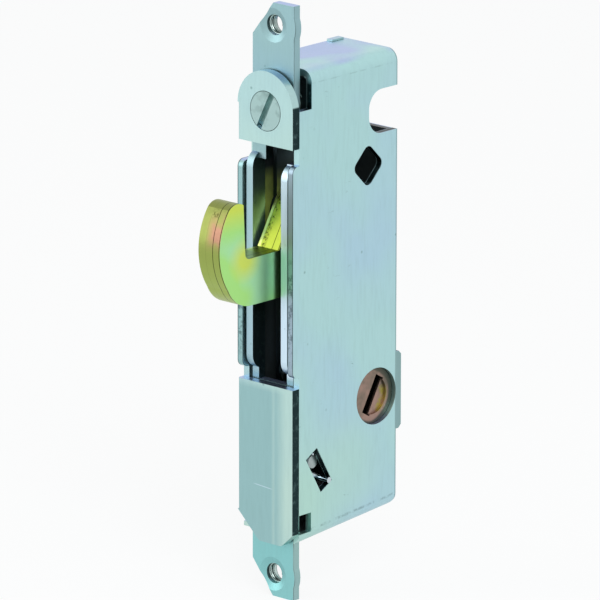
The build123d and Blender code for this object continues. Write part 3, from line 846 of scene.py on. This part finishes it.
@dataclass(frozen=True)
class FacePlate:
    """The strip with two ears, a window and raised cheeks."""

    hole_height_mm: float = 46.83
    half_window_mm: float = 3.15
    edge_mm: float = 0.18
    beside_hook_mm: Pair = (4.5, 19.5)
    edge_line_mm: Pair = (0.1, 0.22)
    reflection_patch_mm: float = 3.0
    line_patch_mm: float = 6.0
    lower_ear_mm: Pair = (-38.5, -41.0)

    def build(self) -> None:
        """Dresses the plate and adds the threads and collars of its fixing holes."""
        plated = ZincPlatedSheet("face_plate_zinc", body_hex="#95B7BA", cloud_hex="#90B3BF",
                                 warm_hex="#9DBFB9", shade_hex="#8AC4C5", smooth=0.36,
                                 rough=0.52)
        finish = plated.make(self.window_wall_shade, shade=self.lower_ear_shade, lines=self.outer_edge_shade,
                             scratch_and_highlight=self.rim_highlight)
        dress("face_plate", finish, self.edge_mm)
        steel = TurnedPinSteel("tapped_thread_steel", "#B9CCC8", "#46524F").make()
        for end, height in (("upper", self.hole_height_mm), ("lower", -self.hole_height_mm)):
            hole = TappedHole(height)
            for name, shape in ((f"fixing_thread_{end}", hole.thread),
                                (f"fixing_collar_{end}", hole.collar)):
                add_piece(name, shape(name), "case", steel)

    def window_wall_shade(self, look: Patterns) -> Socket:
        """Mask of the painted shade on the blanked walls that face each other across the window.

        Args:
            look: The finish's patterns.

        Returns:
            The mask.
        """
        side = look.above(look.size(look.facing_x), 0.5, 0.8)
        within = look.beyond(look.size(look.x), self.half_window_mm + 0.4,
                             self.half_window_mm + 0.2)
        # A painted reflection of the swinging hook keeps the left wall bright beside it
        patchy = look.noise(self.reflection_patch_mm, 3.0, 0.6, shift=(0.2, 0.7, 0.4))
        reflected = look.times(look.band(look.z, *self.beside_hook_mm, 3.5), look.beyond(look.x, 0.0, -2.0),
                           look.lift(look.above(patchy, 0.2, 0.6), 0.55, 0.4))
        return look.times(side, within, 0.85, look.without(reflected))

    def rim_highlight(self, look: Patterns) -> Socket:
        """Mask of the painted highlight on the strips beside the window, stronger on the right
        strip.

        Args:
            look: The finish's patterns.

        Returns:
            The mask.
        """
        right = look.beyond(look.x, -0.6, 0.6)
        return look.times(look.faces_out(), look.band(look.z, *CHEEK_MM, 0.4),
                          look.lift(right, 0.25, 0.65))

    def outer_edge_shade(self, look: Patterns) -> Socket:
        """Mask of the fine dark lines of painted shade along the front corners of the strip's
        outer sides.

        Args:
            look: The finish's patterns.

        Returns:
            The mask.
        """
        side = look.above(look.size(look.facing_x), 0.5, 0.8)
        outside = look.beyond(look.size(look.x), self.half_window_mm + 0.6,
                              self.half_window_mm + 0.8)
        patchy = look.above(look.noise(self.line_patch_mm, shift=(0.2, 0.0, 0.6)), 0.3, 0.6)
        return look.times(side, outside, look.band(look.y, *self.edge_line_mm, 0.05), patchy, 0.8)

    def lower_ear_shade(self, look: Patterns) -> Socket:
        """Mask of the painted shadow that the cover casts on the strip's face below it."""
        flat = look.above(look.size(look.facing_x), 0.7, 0.4)
        return look.times(look.beyond(look.z, *self.lower_ear_mm), flat)


@dataclass(frozen=True)
class LockCase:
    """Two folded halves, held together by their posts and guide pins."""

    half_width_mm: float = 6.2
    sheet_mm: float = 1.2
    side_front_mm: float = -0.36
    rear_mm: float = 23.52
    top_mm: float = 39.7
    bottom_mm: float = -40.8
    bottom_rise_mm: float = 2.0
    fold_mm: float = 2.1
    flange_mm: float = 38.6
    tab_edge_mm: float = 6.1
    tab_foot_mm: Pair = (27.5, 28.5)
    tab_back_mm: Pair = (1.4, 1.8)
    cover_top_mm: float = -13.7
    cover_bend_mm: Pair = (4.6, 2.2)
    sheen_streak_mm: Pair = (1.6, 2.1)
    hub_hole_mm: Pair = (5.6, 5.2)
    cut_height_mm: Pair = (-36.0, 37.8)
    cut_back_mm: Pair = (3.2, 4.0)
    corner_mm: float = 0.12
    cheek_front_mm: Pair = (0.9, 0.8)
    torn_mm: Pair = (-8.5, 7.5)
    torn_grain_mm: float = 1.3
    patchiness_mm: float = 7.0
    mark_mm: float = 2.2
    scratch_mm: Pair = (-31.45, -31.35)
    scratch_reach_mm: Pair = (-2.4, 1.4)
    scratch_tilt: float = 0.06
    edge_mm: float = 0.16
    pin_edge_mm: float = 0.08

    @property
    def inner_mm(self) -> float:
        """Distance of the sides' inner faces from the middle of the case."""
        return self.half_width_mm - self.sheet_mm

    def build(self) -> None:
        """Dresses both halves and the pins that join them."""
        right = ZincPlatedSheet("case_right_zinc", shade_hex="#99AEBC")
        left = ZincPlatedSheet("case_left_zinc", body_hex="#B3D3D0", cloud_hex="#A9CBD0",
                               warm_hex="#B9D6CE", shade_hex="#95BBBD")
        dress("case_right", right.make(self.cut_edges_and_wall_shade, self.inner_faces_shade, self.cheek_edge,
                                       self.fold_marks_and_edge_shade), self.edge_mm)
        dress("case_left", left.make(self.cut_edges_and_wall_shade, self.inner_faces_shade, self.cover_shade,
                                     self.front_edge_shade_and_tears, self.scratch), self.edge_mm)
        pins = TurnedPinSteel().make()
        for name in ("upper_post", "rear_post", "spring_post", "slide_guide_pins"):
            dress(name, pins, self.pin_edge_mm)

    def cut_edges_and_wall_shade(self, look: Patterns) -> Socket:
        """Mask of the sheared sheet edges of a case half, but not of those that face out, with
        painted shade on the walls of the openings.

        Args:
            look: The finish's patterns.

        Returns:
            The mask.
        """
        within = look.band(look.size(look.x), self.inner_mm + self.corner_mm,
                           self.half_width_mm - self.corner_mm, 0.04)
        level = look.above(look.size(look.facing_x), 0.6, 0.4)
        beside_tab = look.times(look.beyond(look.z, *self.tab_foot_mm),
                                look.beyond(look.y, *self.tab_back_mm))
        behind = look.most(look.beyond(look.y, *self.cut_back_mm), beside_tab)
        # The wall of the hub's hole is left out of the painted shade
        hub_ring = look.times(look.beyond(look.from_axis(HUB_MM), *self.hub_hole_mm), 0.95)
        sheet = look.times(within, level, behind, look.band(look.z, *self.cut_height_mm, 0.5),
                           look.without(hub_ring))
        front = look.beyond(look.y, self.side_front_mm + 0.1, self.side_front_mm)
        tab_edge = look.band(look.x, self.tab_edge_mm - 0.06, self.tab_edge_mm + 0.05, 0.02)
        fold = look.times(front, look.above(look.facing_x, 0.6, 0.85), tab_edge,
                          look.without(look.band(look.z, *CHEEK_MM, 0.2)))
        return look.most(sheet, fold)

    def cheek_edge(self, look: Patterns) -> Socket:
        """Mask of the cheek's front edge: a sheared edge, duller than the rolled sheet, darkened
        further with a painted dark reflection.
        """
        return look.times(look.faces_out(), look.beyond(look.y, *self.cheek_front_mm),
                          look.band(look.z, *CHEEK_FLAT_MM, 0.2))

    def inner_faces_shade(self, look: Patterns) -> Socket:
        """Mask of the faces inside the case, which get painted shade.

        Args:
            look: The finish's patterns.

        Returns:
            The mask.
        """
        within = look.beyond(look.size(look.x), self.inner_mm + 0.1, self.inner_mm + 0.02)
        below = look.beyond(look.z, self.flange_mm, self.flange_mm - 0.4)
        behind = look.band(look.y, 0.25, self.rear_mm - 0.25, 0.1)
        return look.times(within, below, behind, look.above(look.facing_z, -0.6, -0.3))

    def cover_shade(self, look: Patterns) -> Socket:
        """Mask of the painted shade on the cover's flat part. Its right side bends back and is
        left bright as a painted highlight, as is, in part, a soft upright band.

        Args:
            look: The finish's patterns.

        Returns:
            The mask.
        """
        low = look.beyond(look.z, self.cover_top_mm + 0.1, self.cover_top_mm - 1.2)
        # A soft upright band of painted reflection, kept half out of the painted shade
        sheen_streak = look.times(look.band(look.x, *self.sheen_streak_mm, 0.3), 0.5)
        flat = look.minus(look.beyond(look.x, *self.cover_bend_mm), sheen_streak)
        front = look.beyond(look.y, self.side_front_mm, self.side_front_mm - 0.4)
        return look.most(look.times(low, flat, front), self.cheek_edge(look))

    def scratch(self, look: Patterns) -> Socket:
        """Mask of the light scratch across the lower part of the cover."""
        tilted = look.plus(look.z, look.times(look.x, self.scratch_tilt))
        return look.times(look.band(tilted, *self.scratch_mm, 0.06),
                          look.band(look.x, *self.scratch_reach_mm, 0.4),
                          look.faces_out(), 0.8)

    def front_edge_shade_and_tears(self, look: Patterns) -> Socket:
        """Mask of the cheek's front edge: dark lines of painted shade at its corners, and torn
        patches.

        Args:
            look: The finish's patterns.

        Returns:
            The mask.
        """
        across = look.size(look.x)
        front = look.beyond(look.y, *self.cheek_front_mm)
        # Painted shade in the gap at the inner corner and along the outer corner
        inside = look.band(across, self.inner_mm, self.inner_mm + self.corner_mm, 0.03)
        inside = look.times(inside, front, look.above(look.facing_y, -0.3, -0.6))
        corner = look.band(across, self.half_width_mm - 0.17, self.half_width_mm + 0.1, 0.02)
        turned = look.above(look.size(look.facing_x), 0.97, 0.85)
        patchy = look.above(look.noise(self.patchiness_mm, shift=(0.1, 0.0, 0.2)), 0.25, 0.5)
        corner = look.times(corner, front, turned, look.lift(patchy, 0.35, 0.5))
        coarse = look.noise(self.torn_grain_mm, 3.0, 0.75, shift=(0.5, 0.0, 0.1))
        torn = look.times(look.above(coarse, 0.5, 0.62), look.band(look.z, *self.torn_mm, 2.5),
                          look.faces_out(), front,
                          look.beyond(across, self.inner_mm - 0.1, self.inner_mm), 0.6)
        return look.times(look.most(inside, corner, torn), look.band(look.z, *CHEEK_FLAT_MM, 0.2))

    def fold_marks_and_edge_shade(self, look: Patterns) -> Socket:
        """Mask of the broken marks that the bending die left along the folds, with painted shade
        along the rounded rear edge and the cheek's front corners.

        Args:
            look: The finish's patterns.

        Returns:
            The mask.
        """
        slope = self.bottom_rise_mm / (self.rear_mm - self.side_front_mm)
        level = look.minus(look.z, look.times(look.y, slope))
        low = self.bottom_mm + self.fold_mm - self.side_front_mm * slope
        under = look.band(level, low - 0.14, low + 0.14, 0.2)
        high = self.top_mm - self.fold_mm
        over = look.band(look.z, high - 0.06, high + 0.06, 0.1)
        broken = look.noise(self.mark_mm, 4.0, 0.8, shift=(0.0, 0.31, 0.0))
        marks = look.times(look.plus(under, look.times(over, 0.5)),
                           look.above(broken, 0.44, 0.56), 0.5,
                           look.above(look.facing_x, 0.7, 0.9))
        # Painted shade where the side turns round the rounded rear fold
        rear = look.times(look.beyond(look.y, self.rear_mm - 0.32, self.rear_mm - 0.12), 0.42,
                          look.above(look.facing_x, 0.2, 0.4))
        return look.most(marks, rear, self.front_edge_shade_and_tears(look))


@dataclass(frozen=True)
class HookCarriage:
    """The sliding carriage, its nut, its screw and the screw's clip."""

    beside_hook_mm: Pair = (4.0, 21.0)
    edge_mm: float = 0.1
    screw_edge_mm: float = 0.12
    clip_edge_mm: float = 0.05
    pin_edge_mm: float = 0.08

    def build(self) -> None:
        """Dresses the carriage's pieces."""
        dull = ShadedZincSheet("carriage_zinc", inside_shade_hex="#4C5640",
                              hook_reflection_hex="#D6E67E").make(inside=self.wall_shade_and_reflection)
        dress("hook_carriage", dull, self.edge_mm)
        dress("adjusting_nut", dull, self.edge_mm)
        dress("adjusting_screw", ThreadedZincSteel().make(), self.screw_edge_mm)
        clip = TurnedPinSteel("spring_clip_steel", "#8E9A9C", "#465052")
        dress("screw_clip", clip.make(), self.clip_edge_mm)
        dress("hook_pivot_pin", TurnedPinSteel("pivot_pin_steel").make(), self.pin_edge_mm)

    def wall_shade_and_reflection(self, look: Patterns) -> Socket:
        """Mask of the carriage's walls beside the hook, in painted shade with a painted
        reflection of the yellow hook.
        """
        side = look.above(look.size(look.facing_x), 0.6, 0.8)
        return look.times(side, look.band(look.z, *self.beside_hook_mm, 2.0))


@dataclass(frozen=True)
class LaminatedHook:
    """Three riveted plates and the pin that swings them."""

    edge_mm: float = 0.14
    pin_edge_mm: float = 0.06

    def build(self) -> None:
        """Dresses the plates, their rivets and their drive pin."""
        finish = YellowChromateSteel().make()
        for name in ("hook_plate_left", "hook_plate_middle", "hook_plate_right"):
            dress(name, finish, self.edge_mm)
        pins = TurnedPinSteel("rivet_steel", "#B4B878", "#5C6238").make()
        for name in ("hook_rivets", "hook_drive_pin"):
            dress(name, pins, self.pin_edge_mm)


@dataclass(frozen=True)
class HubTrain:
    """The keyway hub, its lever and pin, the slide bar and the hub's spring."""

    step_radius_mm: float = 3.3
    rim_radius_mm: float = 4.25
    rim_gain_mm: float = 0.55
    face_mm: float = 5.4
    step_face_mm: Pair = (4.6, 4.8)
    patchiness_mm: float = 1.4
    edge_mm: float = 0.12
    link_edge_mm: float = 0.08
    pin_edge_mm: float = 0.06

    def build(self) -> None:
        """Dresses the hub's pieces and the linkage."""
        casting = CopperFlashedCasting().make(self.keyway, self.worn_step, self.rim_shade)
        dress("hub", casting, self.edge_mm)
        dull = ShadedZincSheet("linkage_zinc").make()
        for name in ("hub_lever", "slide_bar"):
            dress(name, dull, self.link_edge_mm)
        dress("hub_crank_pin", TurnedPinSteel("crank_pin_steel").make(), self.pin_edge_mm)
        dress("hub_spring", TurnedPinSteel("spring_wire_steel", "#C4D2D8", "#5E6C74",
                                           smooth=0.12, rough=0.25).make())

    def keyway(self, look: Patterns) -> Socket:
        """Mask of the painted shade in the deep part of the keyway and on the hub's hidden sides.
        """
        return look.beyond(look.x, self.face_mm - 0.5, self.face_mm - 0.9)

    def worn_step(self, look: Patterns) -> Socket:
        """Mask of the yellow crescent that the tailpiece's rubbing has left on the step.

        Args:
            look: The finish's patterns.

        Returns:
            The mask.
        """
        depth, height = HUB_MM
        ring = look.band(look.from_axis(HUB_MM), self.step_radius_mm - 1.15,
                         self.step_radius_mm + 0.1, 0.2)
        rear = look.beyond(look.y, depth + 0.9, depth + 1.6)
        low = look.beyond(look.z, height + 1.4, height + 0.4)
        patchy = look.above(look.noise(self.patchiness_mm, 3.0, 0.7), 0.36, 0.6)
        return look.times(ring, rear, low, patchy, look.beyond(look.x, *self.step_face_mm))

    def rim_shade(self, look: Patterns) -> Socket:
        """Mask of the painted shade on the hub's rim, wider towards the rear.

        Args:
            look: The finish's patterns.

        Returns:
            The mask.
        """
        rear = look.beyond(look.y, HUB_MM[0] - 0.4, HUB_MM[0] + 2.2)
        reach = look.plus(look.from_axis(HUB_MM), look.times(rear, self.rim_gain_mm * MM))
        return look.beyond(reach, self.rim_radius_mm, self.rim_radius_mm + 0.35)


@dataclass(frozen=True)
class StudioWhite:
    """Surroundings that show white to the camera, to gloss and through glass."""

    matt_hex: str = "#EEF0F0"
    soft_hex: str = "#F2F6F8"
    white_hex: str = "#FFFFFF"
    floor_share: float = 0.86
    soft_strength: float = 0.75

    def seen(self, tree: bpy.types.NodeTree) -> Socket:
        """Mask of the rays that see the white itself, not its light.

        Args:
            tree: Node tree that takes the steps.

        Returns:
            The mask.
        """
        path = add_node(tree, "ShaderNodeLightPath").outputs
        seen = maths(tree, "MAXIMUM", path["Is Camera Ray"], path["Is Glossy Ray"])
        return maths(tree, "MAXIMUM", seen, path["Is Transmission Ray"])

    def floor(self) -> bpy.types.Material:
        """Pale floor that keeps a soft shadow under the lock.

        Returns:
            The floor's material.
        """
        material = bpy.data.materials.new("studio_floor")
        material.use_nodes = True
        tree = material.node_tree
        tree.nodes.clear()
        share = maths(tree, "MULTIPLY", self.seen(tree), self.floor_share)
        matt = add_node(tree, "ShaderNodeBsdfDiffuse", {"Color": linear(self.matt_hex)})
        glow = add_node(tree, "ShaderNodeEmission",
                        {"Color": linear(self.white_hex), "Strength": 1.0})
        mix = add_node(tree, "ShaderNodeMixShader",
                       {0: share, 1: matt.outputs[0], 2: glow.outputs[0]})
        add_node(tree, "ShaderNodeOutputMaterial", {0: mix.outputs[0]})
        return material

    def world(self) -> None:
        """White behind the lock, and a soft even light on it."""
        world = bpy.data.worlds.new("studio_world")
        bpy.context.scene.world = world
        world.use_nodes = True
        tree = world.node_tree
        tree.nodes.clear()
        soft = add_node(tree, "ShaderNodeBackground",
                        {0: linear(self.soft_hex), 1: self.soft_strength})
        white = add_node(tree, "ShaderNodeBackground", {0: linear(self.white_hex), 1: 1.0})
        mix = add_node(tree, "ShaderNodeMixShader",
                       {0: self.seen(tree), 1: soft.outputs[0], 2: white.outputs[0]})
        add_node(tree, "ShaderNodeOutputWorld", {0: mix.outputs[0]})


@dataclass(frozen=True)
class SoftLight:
    """A square lamp that faces the lock, with its place and side in metres and power in watts."""

    name: str
    place: Triple
    side: float
    power: float

    def hang(self) -> None:
        """Adds the lamp to the scene."""
        data = bpy.data.lights.new(self.name, "AREA")
        data.size = self.side
        data.energy = self.power
        lamp = bpy.data.objects.new(self.name, data)
        lamp.location = self.place
        lamp.rotation_euler = (-Vector(self.place)).to_track_quat("-Z", "Y").to_euler()
        bpy.context.scene.collection.objects.link(lamp)


@dataclass(frozen=True)
class Studio:
    """Camera, soft lights, floor and white surround, in metres where no unit is named."""

    camera_mm: Triple = (884.53, -957.37, 358.87)
    target_mm: Triple = (-2.338, 9.125, -1.953)
    lens_mm: float = 492.6
    sensor_mm: float = 36.0
    roll_deg: float = 0.09
    reach: float = 20.0
    floor_mm: float = -50.64
    floor_size: float = 3.0
    lights: tuple[SoftLight, ...] = (SoftLight("key_light", (0.55, -0.35, 0.55), 0.5, 3.0),
                                     SoftLight("fill_light", (-0.6, -0.5, 0.25), 0.6, 1.5))

    def build(self) -> None:
        """Sets up the whole studio."""
        self.place_camera()
        for light in self.lights:
            light.hang()
        self.lay_floor()
        StudioWhite().world()

    def place_camera(self) -> None:
        """Puts the camera where the photograph was taken from."""
        data = bpy.data.cameras.new("photo_camera")
        data.lens = self.lens_mm
        data.sensor_width = self.sensor_mm
        data.clip_end = self.reach
        camera = bpy.data.objects.new("photo_camera", data)
        bpy.context.scene.collection.objects.link(camera)
        place = Vector(self.camera_mm) * MM
        aim = Vector(self.target_mm) * MM
        camera.location = place
        camera.rotation_euler = (aim - place).to_track_quat("-Z", "Y").to_euler()
        camera.rotation_euler.rotate_axis("Z", math.radians(self.roll_deg))
        bpy.context.scene.camera = camera

    def lay_floor(self) -> None:
        """Lays the floor under the lower ear."""
        half = self.floor_size / 2
        height = self.floor_mm * MM
        mesh = bpy.data.meshes.new("studio_floor")
        mesh.from_pydata([(-half, -half, height), (half, -half, height), (half, half, height),
                          (-half, half, height)], [], [(0, 1, 2, 3)])
        floor = bpy.data.objects.new("studio_floor", mesh)
        bpy.context.scene.collection.objects.link(floor)
        floor.data.materials.append(StudioWhite().floor())


def main() -> None:
    """Builds the lock's sub-assemblies and the studio in order."""
    logging.basicConfig(level=logging.INFO, format="%(name)s: %(message)s")
    bpy.context.scene.view_settings.view_transform = "Standard"
    for part in (Studio(), FacePlate(), LockCase(), HookCarriage(), LaminatedHook(), HubTrain()):
        part.build()
        LOG.info("finished %s", type(part).__name__)


if __name__ == "__main__":
    main()
